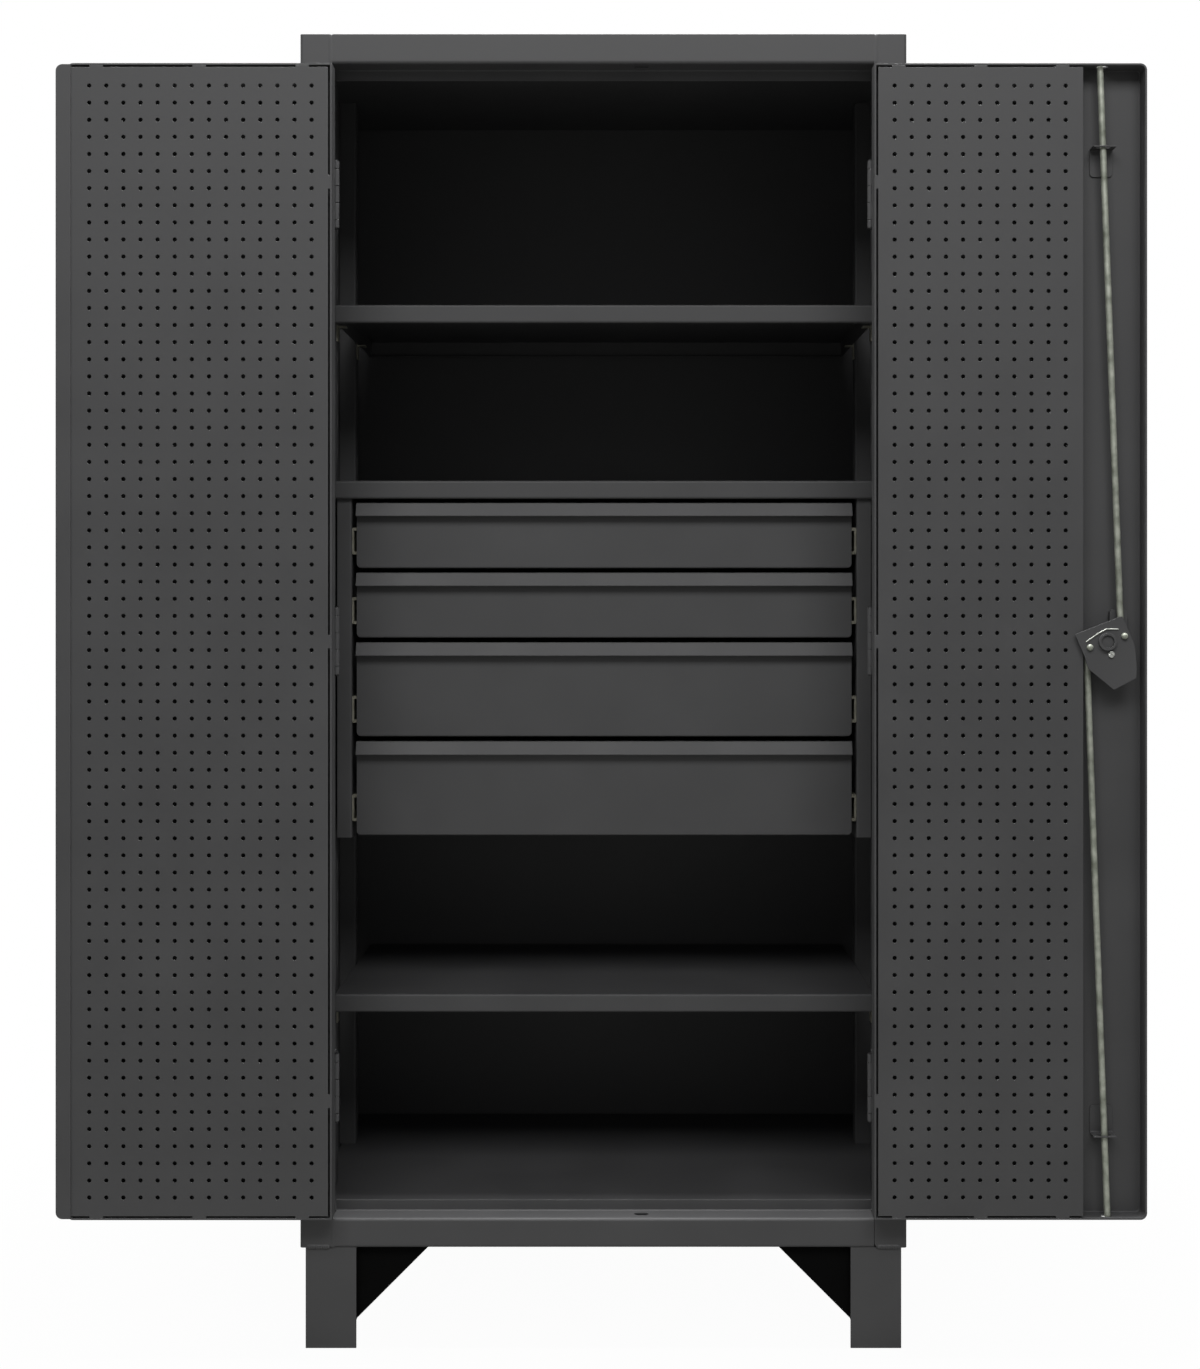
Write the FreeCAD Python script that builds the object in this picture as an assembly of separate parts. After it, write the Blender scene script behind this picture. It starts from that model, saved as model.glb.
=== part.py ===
"""Welded sheet-steel storage cabinet with pegboard doors, shelves and a bank of four drawers.

Millimetres. X runs to the right, Y to the back, Z up. The origin is on the floor, at the centre of the
cabinet's footprint. The doors are modelled folded back through 180 degrees, flat in front of the posts.
"""
import FreeCAD, Part
import math
import os

Vector = FreeCAD.Vector

# Cabinet body
cabinet_width = 914.4
cabinet_depth = 609.6
cabinet_height = 1981.2
body_sheet = 2.7
body_bend = 2.0
post_width = 48.5
post_return = 33.0
post_foot_radius = 8.0
header_height = 44.5
sill_height = 44.5
sill_return = 25.0
stop_height = 16.0
stop_clearance = 0.8
floor_return = 25.0
weld_gap = 0.3
rail_end_gap = 0.6

# Legs and gussets
leg_height = 152.4
leg_width = 76.2
leg_sheet = 3.4
leg_inset = 8.0
leg_front_inset = 3.0
gusset_reach = 111.0
gusset_sheet = 3.4
gusset_setback = 12.0

# Shelves, uprights and clips
shelf_setback = 140.0
shelf_back_gap = 14.0
shelf_sheet = 1.9
shelf_bend = 1.5
shelf_lip = 28.5
shelf_hem = 8.0
shelf_end_gap = 0.5
floor_bay_height = 281.1
lower_bay_height = 246.0
middle_bay_height = 249.0
upright_depth = 27.5
upright_width = 30.0
upright_sheet = 1.9
front_upright_setback = 168.0
rear_upright_inset = 169.6
slot_pitch = 50.8
slot_height = 18.0
slot_width = 5.0
clip_sheet = 2.0
clip_drop = 24.0
clip_rise = 9.0
clip_tongue = 15.0
clip_width = 18.0

# Drawer bank
drawer_setback = 146.0
drawer_side_gap = 36.0
drawer_sheet = 1.5
drawer_box_sheet = 1.2
drawer_bend = 1.0
small_drawer_height = 103.0
large_drawer_height = 149.0
drawer_gap = 7.0
first_drawer_drop = 6.5
drawer_back_gap = 19.0
drawer_box_headroom = 24.0
drawer_box_lift = 6.0
front_overhang = 5.0
pull_reach = 13.0
pull_flat = 4.0
pull_drop = 20.0
front_hem = 10.0
front_corner_radius = 8.0
bank_sheet = 1.9
bank_filler = 23.5
bank_setback = 148.5
bank_back_gap = 28.4
bank_foot = 4.0
tie_height = 110.0

# Drawer runners, three nested channels a side
runner_back_gap = 4.5
runner_width = 12.7
runner_height = 42.0
runner_sheet = 1.3
runner_gap = 0.35
runner_bend = 0.8
runner_setback = 3.0
runner_lift = 22.0

# Doors
door_depth = 35.0
door_gap = 11.0
door_edge_gap = 1.0
centre_gap = 3.0
door_split_offset = 5.6
door_corner_radius = 10.0
door_bend_radius = 4.0
lip_width = 22.0
lip_overlap = 6.5
lip_clearance = 1.0
lip_end_gap = 2.2

# Pegboards
peg_sheet = 1.5
peg_pitch = 25.4
peg_hole_radius = 3.2
peg_first_column = 30.0
peg_margin = 20.0
peg_edge_gap = 3.0
peg_tab_width = 20.0
peg_tab_shares = (0.1, 0.5, 0.9)
channel_width = 95.0

# Hinges
hinge_length = 101.6
barrel_radius = 4.6
pin_radius = 2.5
pin_inset = 6.8
pin_head_radius = 3.9
pin_head_height = 1.6
hinge_face_gap = 0.2
knuckle_gap = 1.0
running_gap = 0.05
leaf_sheet = 2.5
leaf_reach = 27.0
leaf_relief = 5.4
hinge_height_shares = (0.109, 0.5, 0.891)
knuckle_shares = (0.125, 0.25, 0.25, 0.25, 0.125)

# Latch
hub_from_edge = 61.5
rod_radius = 4.75
rod_depth = 21.0
rod_bend = 7.5
rod_lean = 2.1
rod_recess = 1.0
rod_end_round = 2.0
crank_radius = 27.0
crank_angle = 18.0
latch_turn = 72.0
cam_sheet = 3.0
cam_clearance = 1.8
cam_reach = 72.0
cam_corner_radius = 2.5
pin_tail = 6.0
pin_dome = 3.5
hub_radius = 13.0
hub_height = 6.0
shaft_radius = 9.5
shaft_recess = 3.5
screw_radius = 3.0
screw_head_radius = 4.8
screw_head_height = 3.2
screw_offset = 20.0
screw_angle = -72.0
wire_radius = 1.1
wire_reach = 31.0
guide_sheet = 2.0
guide_width = 34.0
guide_height = 42.0
guide_from_end = 121.0
guide_edge_gap = 4.0
guide_corner_radius = 6.0
slot_sway = 5.0
slot_gap = 1.2
end_slot_offset = 2.8
end_slot_sway = 3.0
plate_width = 46.0
plate_drop = 35.0
plate_rise = 14.0
plate_arm_left = 11.0
plate_arm_width = 26.0
plate_arm_rise = 47.0
plate_corner = 5.0
plate_sheet = 11.0
rose_width = 42.0
rose_height = 118.0
rose_sheet = 3.0
rose_corner = 8.0
rose_gap = 0.3
lever_length = 128.0
lever_width = 19.0
lever_sheet = 11.0
lever_end_width = 14.0
lever_hub_radius = 16.0
lever_standoff = 30.0
lever_edge = 2.0
overrun = 1.0
touching = 0.001

# Cam plate corners as shares of its reach, seen from inside the open door, right and up from the hub
cam_corner_shares = (
    (-0.66, 0.15), (0.31, 0.53), (0.57, -0.09), (0.61, -0.52),
    (0.60, -0.75), (0.14, -0.99), (-0.38, -0.56), (-0.47, -0.28),
)

# Corners of the wire that keeps the rods in the cam, as shares of its reach, right and up from the hub
wire_corner_shares = (
    (-1.0, 0.0), (-0.37, 0.43), (-0.19, 0.52), (-0.05, 0.60), (0.51, 0.60),
)

# Places worked out from the sizes above
front = -cabinet_depth / 2
back = cabinet_depth / 2
half_width = cabinet_width / 2
post_edge = half_width - post_width
sill_top = leg_height + sill_height
header_bottom = cabinet_height - header_height
stop_setback = door_depth + body_sheet + stop_clearance
upright_face = half_width - body_sheet - upright_depth
shelf_half = upright_face - clip_sheet - shelf_end_gap
shelf_depth = cabinet_depth - body_sheet - shelf_back_gap - shelf_setback
rear_upright_setback = cabinet_depth - rear_upright_inset - upright_width

pin_x = post_edge - pin_inset
pin_proud = barrel_radius + hinge_face_gap
pin_y = front - pin_proud
door_edge = pin_x + door_edge_gap
door_face = front - 2 * pin_proud
door_bottom = sill_top + door_gap
door_top = header_bottom - door_gap
door_height = door_top - door_bottom
half_opening = pin_x - door_edge_gap - centre_gap / 2
left_door_width = half_opening - door_split_offset
right_door_width = half_opening + door_split_offset
right_door_depth = door_depth - lip_clearance

hub_u = right_door_width - hub_from_edge
hub_z = (door_bottom + door_top) / 2
cam_v = door_depth + body_sheet + cam_clearance
hub_point = Vector(door_edge + hub_u, door_face, hub_z)
slot_half = rod_radius + slot_gap
crank_right = crank_radius * math.cos(math.radians(crank_angle))
crank_up = crank_radius * math.sin(math.radians(crank_angle))
screw_right = screw_offset * math.cos(math.radians(screw_angle))
screw_up = screw_offset * math.sin(math.radians(screw_angle))
inward = Vector(0, -1, 0)
outward = Vector(0, 1, 0)

drawer_half = upright_face - drawer_side_gap
drawer_heights = (small_drawer_height, small_drawer_height, large_drawer_height, large_drawer_height)
drawer_box_half = drawer_half - front_overhang
bank_half = drawer_box_half + runner_width
bank_depth = cabinet_depth - body_sheet - bank_setback - bank_back_gap
drawer_box_depth = bank_setback + bank_depth - drawer_setback - drawer_sheet - drawer_back_gap
runner_length = drawer_sheet + drawer_box_depth - runner_setback - runner_back_gap

lower_shelf_top = sill_top + floor_bay_height + shelf_lip
bank_bottom = lower_shelf_top + lower_bay_height
first_drawer_top = bank_bottom + bank_foot + sum(drawer_heights) + (len(drawer_heights) - 1) * drawer_gap
middle_shelf_top = first_drawer_top + first_drawer_drop + shelf_lip
upper_shelf_top = middle_shelf_top + middle_bay_height + shelf_lip


def box(x0, x1, y0, y1, z0, z1):
    """A block between two opposite corners, given in any order."""
    low = Vector(min(x0, x1), min(y0, y1), min(z0, z1))
    return Part.makeBox(abs(x1 - x0), abs(y1 - y0), abs(z1 - z0), low)


def mirrored(shape):
    """The other hand of a piece, across the cabinet's middle plane."""
    return shape.mirror(Vector(0, 0, 0), Vector(1, 0, 0))


def both_hands(shapes):
    """Right-hand pieces followed by their left-hand copies."""
    return shapes + [mirrored(shape) for shape in shapes]


def fused(first, *others):
    """One solid from pieces of the same sheet or casting."""
    return first.fuse(list(others)).removeSplitter()


def save(name, shapes):
    """Write one node: a single solid, or a group of separate ones."""
    solids = shapes if isinstance(shapes, list) else [shapes]
    shape = solids[0] if len(solids) == 1 else Part.makeCompound(solids)
    shape.exportStep(f"parts/{name}.step")


def outline_face(points, radii):
    """A flat face whose corners are rounded by the given radii."""
    corners = []
    for i, point in enumerate(points):
        towards = (points[i - 1] - point).normalize()
        onwards = (points[(i + 1) % len(points)] - point).normalize()
        half_angle = towards.getAngle(onwards) / 2
        run = radii[i] / math.tan(half_angle)
        bisector = (towards + onwards).normalize()
        middle = point + bisector * (radii[i] / math.sin(half_angle) - radii[i])
        corners.append((point + towards * run, middle, point + onwards * run))
    edges = []
    for i, (start, middle, end) in enumerate(corners):
        last = corners[i - 1][2]
        if not last.isEqual(start, touching):
            edges.append(Part.LineSegment(last, start).toShape())
        if radii[i] > 0:
            edges.append(Part.Arc(start, middle, end).toShape())
    return Part.Face(Part.Wire(edges))


def bent_sheet(path, thickness, bend, run):
    """A bent sheet: the path is one face, the other lies to its left as seen against the run, or to its
    right where the thickness is negative."""
    up = Vector(run).normalize()
    near = []
    far = []
    near_radii = []
    far_radii = []
    for i, point in enumerate(path):
        steps = []
        if i > 0:
            steps.append((point - path[i - 1]).normalize())
        if i < len(path) - 1:
            steps.append((path[i + 1] - point).normalize())
        normals = [up.cross(step) for step in steps]
        mean = (normals[0] + normals[-1]).normalize()
        near.append(point)
        far.append(point + mean * (thickness / mean.dot(normals[0])))
        turn = steps[0].cross(steps[-1]).dot(up)
        inside_far = turn * thickness > 0
        outer_bend = bend + abs(thickness)
        if len(steps) == 1:
            near_radii.append(0)
            far_radii.append(0)
        else:
            near_radii.append(outer_bend if inside_far else bend)
            far_radii.append(bend if inside_far else outer_bend)
    face = outline_face(near + far[::-1], near_radii + far_radii[::-1])
    return face.extrude(run)


def slot(centre, half_long, half_short, along, through):
    """A round-ended cutter: half_long along one direction, run through both ways by its length."""
    across = along.cross(through).normalize()
    reach = half_long - half_short
    low = centre - through
    sides = [low + along * reach + across * half_short, low - along * reach + across * half_short,
             low - along * reach - across * half_short, low + along * reach - across * half_short]
    edges = [
        Part.LineSegment(sides[0], sides[1]).toShape(),
        Part.Arc(sides[1], low - along * half_long, sides[2]).toShape(),
        Part.LineSegment(sides[2], sides[3]).toShape(),
        Part.Arc(sides[3], low + along * half_long, sides[0]).toShape(),
    ]
    return Part.Face(Part.Wire(edges)).extrude(through * 2)


# Cabinet body

def side_panel():
    """Right-hand side wall, bent round into the front post. The post's return stops at the sill, and its
    face goes on down beside the base rail as a foot with a rounded corner."""
    path = [
        Vector(post_edge, front + post_return, sill_top),
        Vector(post_edge, front, sill_top),
        Vector(half_width, front, sill_top),
        Vector(half_width, back, sill_top),
    ]
    upper = bent_sheet(path, body_sheet, body_bend, Vector(0, 0, cabinet_height - sill_top))
    foot_path = [Vector(point.x, point.y, leg_height) for point in path[1:]]
    lower = bent_sheet(foot_path, body_sheet, body_bend, Vector(0, 0, sill_height))
    corner = [edge for edge in lower.Edges
              if abs(edge.BoundBox.XMax - post_edge) + abs(edge.BoundBox.ZMax - leg_height) < touching]
    return fused(upper, lower.makeFillet(post_foot_radius, corner))


def top_panel():
    """Flat roof sheet between the side walls, behind the header and the posts."""
    inside = half_width - body_sheet
    roof = box(-inside, inside, front + body_sheet, back - body_sheet,
               cabinet_height - body_sheet, cabinet_height)
    for sign in (-1, 1):
        corner = box(sign * inside, sign * post_edge, front, front + body_sheet + weld_gap,
                     header_bottom, cabinet_height + overrun)
        post = box(sign * post_edge, sign * (post_edge + body_sheet), front, front + post_return + weld_gap,
                   header_bottom, cabinet_height + overrun)
        roof = roof.cut(corner.fuse(post))
    bend_relief = body_bend + body_sheet
    for sign in (-1, 1):
        for edge in (inside, post_edge):
            inward = -bend_relief if edge == inside else bend_relief
            relief = box(sign * edge, sign * (edge + inward), front, front + bend_relief,
                         header_bottom, cabinet_height + overrun)
            roof = roof.cut(relief)
    return roof


def back_panel():
    """Back sheet between the side walls, its foot folded forward over the legs and gussets."""
    inside = half_width - body_sheet
    sheet = box(-inside, inside, back - body_sheet, back, leg_height, cabinet_height)
    fold_half = inside - floor_return - weld_gap
    fold = box(-fold_half, fold_half, back - body_sheet, back - sill_return,
               leg_height, leg_height + body_sheet)
    return fused(sheet, fold)


def keeper_slot(level):
    """Cutter for the slot that takes a lock rod when the doors are shut."""
    centre = Vector(pin_x - door_edge_gap - hub_u, front + rod_depth, level)
    return slot(centre, slot_half + slot_sway, slot_half, Vector(1, 0, 0), Vector(0, 0, body_sheet + overrun))


def header_rail():
    """Front rail over the doors: face, underside and the stop that hangs behind the doors."""
    path = [
        Vector(-post_edge, front, cabinet_height),
        Vector(-post_edge, front, header_bottom),
        Vector(-post_edge, front + stop_setback, header_bottom),
        Vector(-post_edge, front + stop_setback, header_bottom - stop_height),
    ]
    rail = bent_sheet(path, body_sheet, body_bend, Vector(2 * post_edge, 0, 0))
    return rail.cut(keeper_slot(header_bottom))


def base_rail():
    """Front rail under the doors, between the posts: stop, sill, face and bottom return."""
    start = rail_end_gap - post_edge
    path = [
        Vector(start, front + stop_setback, sill_top + stop_height),
        Vector(start, front + stop_setback, sill_top),
        Vector(start, front, sill_top),
        Vector(start, front, leg_height),
        Vector(start, front + sill_return, leg_height),
    ]
    rail = bent_sheet(path, body_sheet, body_bend, Vector(-2 * start, 0, 0))
    return rail.cut(keeper_slot(sill_top))


def floor_panel():
    """Inside floor, flush with the sill, with folded edges that stand on the legs and a front flange."""
    inside = half_width - body_sheet
    start = front + stop_setback + body_sheet
    path = [
        Vector(inside - floor_return, start, leg_height),
        Vector(inside, start, leg_height),
        Vector(inside, start, sill_top),
        Vector(-inside, start, sill_top),
        Vector(-inside, start, leg_height),
        Vector(floor_return - inside, start, leg_height),
    ]
    run = Vector(0, back - body_sheet - start, 0)
    deck = bent_sheet(path[::-1], body_sheet, body_bend, run)
    flange_half = inside - body_sheet
    flange = box(-flange_half, flange_half, start, start + body_sheet, leg_height, sill_top - body_sheet)
    return fused(deck, flange)


def leg(side, end):
    """An angle leg under a welded plate: side -1 is left and 1 right, end -1 is front and 1 back."""
    outer_x = side * (half_width - leg_inset)
    outer_y = end * (back - leg_front_inset)
    inner_x = outer_x - side * leg_width
    inner_y = outer_y - end * leg_width
    plate_bottom = leg_height - leg_sheet
    face = box(outer_x, inner_x, outer_y, outer_y - end * leg_sheet, 0, plate_bottom)
    flank = box(outer_x, outer_x - side * leg_sheet, outer_y, inner_y, 0, plate_bottom)
    top = box(outer_x, inner_x, outer_y, inner_y, plate_bottom, leg_height)
    return fused(face, flank, top)


def gusset(side, end):
    """A flat triangle that braces a leg against the base, set back behind the leg's face."""
    y = end * (back - leg_front_inset - gusset_setback)
    x = side * (half_width - leg_inset - leg_width)
    corner = Vector(x, y, leg_height)
    tip = Vector(x - side * gusset_reach, y, leg_height)
    foot = Vector(x, y, leg_height - gusset_reach)
    web = Part.Face(Part.makePolygon([corner, tip, foot, corner])).extrude(Vector(0, -end * gusset_sheet, 0))
    lap = box(x + side * gusset_sheet, x, y - end * gusset_sheet, end * (back - leg_front_inset - leg_sheet),
              leg_height - gusset_reach, leg_height - leg_sheet)
    return fused(web, lap)


# Shelves

def upright(setback):
    """Slotted channel on the right side wall, open towards the wall."""
    start = sill_top
    height = cabinet_height - body_sheet - sill_top
    near_y = front + setback
    far_y = near_y + upright_width
    wall = half_width - body_sheet
    path = [
        Vector(wall, near_y, start),
        Vector(upright_face, near_y, start),
        Vector(upright_face, far_y, start),
        Vector(wall, far_y, start),
    ]
    channel = bent_sheet(path, -upright_sheet, shelf_bend, Vector(0, 0, height))
    slot_y = near_y + (upright_width - slot_width) / 2
    cutters = []
    for i in range(1, int(height / slot_pitch)):
        middle = start + i * slot_pitch
        cutters.append(box(upright_face - overrun, upright_face + upright_sheet + overrun,
                           slot_y, slot_y + slot_width, middle - slot_height / 2, middle + slot_height / 2))
    return channel.cut(cutters)


def shelf(top):
    """A shelf pan: front lip with a hem, back flange with a hem, and two end flanges."""
    near_y = front + shelf_setback
    far_y = near_y + shelf_depth
    bottom = top - shelf_lip
    path = [
        Vector(-shelf_half, near_y + shelf_hem, bottom),
        Vector(-shelf_half, near_y, bottom),
        Vector(-shelf_half, near_y, top),
        Vector(-shelf_half, far_y, top),
        Vector(-shelf_half, far_y, bottom),
        Vector(-shelf_half, far_y - shelf_hem, bottom),
    ]
    pan = bent_sheet(path, -shelf_sheet, shelf_bend, Vector(2 * shelf_half, 0, 0))
    inset = shelf_sheet + shelf_hem
    ends = [box(sign * shelf_half, sign * (shelf_half - shelf_sheet), near_y + inset, far_y - inset,
                bottom, top) for sign in (-1, 1)]
    return fused(pan, *ends)


def clip(setback, top):
    """A right-hand shelf clip: a leg on the upright's face and a tongue under the shelf's edge."""
    seat = top - shelf_lip
    near_y = front + setback + (upright_width - clip_width) / 2
    far_y = near_y + clip_width
    leg_plate = box(upright_face - clip_sheet, upright_face, near_y, far_y,
                    seat - clip_drop, seat + clip_rise)
    tongue = box(upright_face - clip_tongue, upright_face, near_y, far_y, seat - clip_sheet, seat)
    return fused(leg_plate, tongue)


# Drawer bank

def bank_side():
    """Right-hand side of the drawer bank: a filler strip in front, a web, and a rear flange."""
    near_y = front + bank_setback
    far_y = near_y + bank_depth
    edge = bank_half + bank_filler
    height = middle_shelf_top - shelf_sheet - bank_bottom
    path = [
        Vector(edge, near_y, bank_bottom),
        Vector(bank_half, near_y, bank_bottom),
        Vector(bank_half, far_y, bank_bottom),
        Vector(edge, far_y, bank_bottom),
    ]
    return bent_sheet(path, -bank_sheet, shelf_bend, Vector(0, 0, height))


def rear_tie():
    """A plate across the back of the drawer bank, on the two rear flanges."""
    y = front + bank_setback + bank_depth
    edge = bank_half + bank_filler
    return box(-edge, edge, y, y + bank_sheet, bank_bottom, bank_bottom + tie_height)


def drawer_levels():
    """Top and height of each drawer front, from the top one down."""
    levels = []
    top = first_drawer_top
    for height in drawer_heights:
        levels.append((top, height))
        top -= height + drawer_gap
    return levels


def drawer_front(top, height):
    """A drawer front with its full-width pull: the sheet goes over the top and slopes forward and down.
    The two lower corners are rounded."""
    y = front + drawer_setback
    bottom = top - height
    crease = top - drawer_sheet
    path = [
        Vector(-drawer_half, y + front_hem, bottom),
        Vector(-drawer_half, y, bottom),
        Vector(-drawer_half, y, crease),
        Vector(-drawer_half, y - pull_flat, crease),
        Vector(-drawer_half, y - pull_reach, crease - pull_drop),
    ]
    sheet = bent_sheet(path, -drawer_sheet, drawer_bend, Vector(2 * drawer_half, 0, 0))
    near_y = y - pull_reach - overrun
    outline = [Vector(-drawer_half, near_y, bottom), Vector(drawer_half, near_y, bottom),
               Vector(drawer_half, near_y, top), Vector(-drawer_half, near_y, top)]
    window = outline_face(outline, [front_corner_radius, front_corner_radius, 0, 0])
    return sheet.common(window.extrude(outward * (pull_reach + front_hem + 2 * overrun)))


def drawer_box(top, height):
    """The drawer's tray, open at the top."""
    near_y = front + drawer_setback + drawer_sheet
    far_y = near_y + drawer_box_depth
    floor = top - height + drawer_box_lift
    rim = top - drawer_box_headroom
    tray = box(-drawer_box_half, drawer_box_half, near_y, far_y, floor, rim)
    hollow = box(drawer_box_sheet - drawer_box_half, drawer_box_half - drawer_box_sheet,
                 near_y + drawer_box_sheet, far_y - drawer_box_sheet, floor + drawer_box_sheet, rim + overrun)
    return tray.cut(hollow)


def runner(top, height, member):
    """One right-hand runner channel: member 0 is on the bank, 1 in the middle, 2 on the drawer."""
    inset = member * (runner_sheet + runner_gap)
    near_y = front + drawer_setback + runner_setback
    bottom = top - height + runner_lift + inset
    rim = top - height + runner_lift + runner_height - inset
    web = bank_half - inset
    mouth = drawer_box_half + runner_gap
    if member == 2:
        web = drawer_box_half
        mouth = bank_half - 2 * (runner_sheet + runner_gap)
    path = [Vector(mouth, near_y, bottom), Vector(web, near_y, bottom),
            Vector(web, near_y, rim), Vector(mouth, near_y, rim)]
    thickness = -runner_sheet if member == 2 else runner_sheet
    return bent_sheet(path, -thickness, runner_bend, Vector(0, runner_length, 0))


# Doors, written for the right-hand side: u from the hinge edge, v inwards from the outer face

def door_block(u0, u1, v0, v1, z0, z1):
    """A block placed on the open right-hand door."""
    return box(door_edge + u0, door_edge + u1, door_face - v0, door_face - v1, z0, z1)


def free_corners(block, free_x):
    """The edges of a block that run from its outer to its inner face at the door's free side."""
    def across(edge):
        bounds = edge.BoundBox
        return abs(bounds.XMin - free_x) + bounds.XLength + bounds.ZLength < touching
    return [edge for edge in block.Edges if across(edge)]


def door_tray(width, depth, inset):
    """A block in the door's outline, drawn in by an inset, with rounded free corners and skin edges."""
    block = door_block(inset, width - inset, inset, depth, door_bottom + inset, door_top - inset)
    block = block.makeFillet(door_corner_radius - inset, free_corners(block, door_edge + width - inset))
    skin_y = door_face - inset
    rim = [edge for edge in block.Edges if abs(edge.BoundBox.YMin - skin_y) < touching]
    return block.makeFillet(door_bend_radius - inset, rim)


def door_pan(width, depth):
    """The door's outer skin folded up into a shallow tray."""
    return door_tray(width, depth, 0).cut(door_tray(width, depth + overrun, body_sheet))


def tabbed_edge(start, end, reach, shares):
    """Points along one edge of a sheet from start to end, stepping out to the right over each weld tab."""
    along = (end - start).normalize()
    out = along.cross(inward) * reach
    points = [start]
    for share in shares:
        middle = start + (end - start) * share
        near = middle - along * (peg_tab_width / 2)
        far = middle + along * (peg_tab_width / 2)
        points += [near, near + out, far + out, far]
    return points


def hole_count(span):
    """How many peg holes on the pitch fit in a span, the first at its start."""
    return int(span / peg_pitch) + 1


def pegboard(u_end, depth, free_shares):
    """Perforated panel set flush inside the door's folds, reaching them only at its weld tabs."""
    start = body_sheet + peg_edge_gap
    low = door_bottom + start
    high = door_top - start

    def at(u, z):
        return Vector(door_edge + u, door_face - depth + peg_sheet, z)
    corners = [at(start, low), at(u_end, low), at(u_end, high), at(start, high)]
    outline = []
    for i, shares in enumerate((peg_tab_shares, free_shares, peg_tab_shares, peg_tab_shares)):
        outline += tabbed_edge(corners[i], corners[(i + 1) % len(corners)], peg_edge_gap, shares)
    outer = Part.makePolygon(outline + outline[:1])
    rows = hole_count(high - low - 2 * peg_margin)
    first_row = (low + high - (rows - 1) * peg_pitch) / 2
    holes = []
    for row in range(rows):
        for column in range(hole_count(u_end - peg_margin - peg_first_column)):
            centre = at(peg_first_column + column * peg_pitch, first_row + row * peg_pitch)
            holes.append(Part.Wire(Part.makeCircle(peg_hole_radius, centre, outward)))
    return Part.Face([outer] + holes).extrude(inward * peg_sheet)


def left_door_pieces():
    """Pan, overlap lip and pegboard of the left door."""
    pan = door_pan(left_door_width, door_depth)
    inner_edge = left_door_width - lip_overlap
    lip = door_block(inner_edge, inner_edge + lip_width, door_depth, door_depth + body_sheet,
                     door_bottom + lip_end_gap, door_top - lip_end_gap)
    lip = lip.makeFillet(door_corner_radius, free_corners(lip, door_edge + inner_edge + lip_width))
    board_end = left_door_width - body_sheet - peg_edge_gap
    board = pegboard(board_end, door_depth, peg_tab_shares)
    return mirrored(pan), mirrored(lip), mirrored(board)


def rod_slot(offset, sway, z, half_through):
    """Cutter for a lock rod's slot through a flange of the right door, offset sideways from the hub."""
    centre = Vector(hub_point.x + offset, door_face - rod_depth, z)
    return slot(centre, slot_half + sway, slot_half, Vector(1, 0, 0), Vector(0, 0, half_through))


def right_door_pan():
    """The right door's tray, with a shaft hole and a rod slot in each end."""
    pan = door_pan(right_door_width, right_door_depth)
    reach = body_sheet + overrun
    bore = Part.makeCylinder(shaft_radius + running_gap, body_sheet + 2 * overrun,
                             cam_point(0, 0, -overrun), inward)
    return pan.cut([bore, rod_slot(-end_slot_offset, end_slot_sway, door_top, reach),
                    rod_slot(end_slot_offset, end_slot_sway, door_bottom, reach)])


def right_pegboard():
    """The right door's perforated panel, folded down to the skin beside the lock rods."""
    end = right_door_width - channel_width
    board = pegboard(end, right_door_depth, ())
    low = door_bottom + body_sheet + peg_edge_gap
    high = door_top - body_sheet - peg_edge_gap
    fold = door_block(end - peg_sheet, end, body_sheet, right_door_depth, low, high)
    return fused(board, fold)


# Hinges

def knuckle_spans(middle):
    """Lower and upper end of each knuckle of a hinge centred at a height."""
    spans = []
    low = middle - hinge_length / 2
    for share in knuckle_shares:
        high = low + share * hinge_length
        spans.append((low + knuckle_gap / 2, high - knuckle_gap / 2))
        low = high
    return spans


def barrel(low, high, bore):
    """One knuckle's ring on the right-hand pin."""
    centre = Vector(pin_x, pin_y, low)
    ring = Part.makeCylinder(barrel_radius, high - low, centre)
    return ring, Part.makeCylinder(bore, high - low + 2 * overrun, centre - Vector(0, 0, overrun))


def frame_leaf(middle):
    """Hinge leaf on the post's return, with the first, third and fifth knuckles."""
    half = hinge_length / 2
    leaf = box(post_edge - leaf_sheet, post_edge, front, front + leaf_reach, middle - half, middle + half)
    bores = []
    for low, high in knuckle_spans(middle)[0::2]:
        ring, bore = barrel(low, high, pin_radius)
        arm = box(post_edge - leaf_sheet, post_edge, pin_y, front, low, high)
        bridge = box(pin_x, post_edge, pin_y, pin_y + leaf_sheet, low, high)
        leaf = leaf.fuse([ring, arm, bridge])
        bores.append(bore)
    return leaf.cut(bores).removeSplitter()


def door_leaf(middle):
    """Hinge leaf on the door's outer face, with the second and fourth knuckles."""
    half = hinge_length / 2
    back_face = door_face + leaf_sheet
    leaf = box(pin_x + leaf_relief, door_edge + leaf_reach, door_face, back_face,
               middle - half, middle + half)
    bores = []
    for low, high in knuckle_spans(middle)[1::2]:
        ring, bore = barrel(low, high, pin_radius + running_gap)
        tongue = box(pin_x, pin_x + leaf_relief, door_face + hinge_face_gap, back_face, low, high)
        leaf = leaf.fuse([ring, tongue])
        bores.append(bore)
    return leaf.cut(bores).removeSplitter()


def hinge_pin(middle):
    """Pin through all five knuckles, with a head at each end."""
    half = hinge_length / 2
    pin = Part.makeCylinder(pin_radius, hinge_length, Vector(pin_x, pin_y, middle - half))
    heads = [Part.makeCylinder(pin_head_radius, pin_head_height, Vector(pin_x, pin_y, z))
             for z in (middle - half + knuckle_gap / 2 - pin_head_height, middle + half - knuckle_gap / 2)]
    return fused(pin, *heads)


# Latch, seen from inside the open right door

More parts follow.
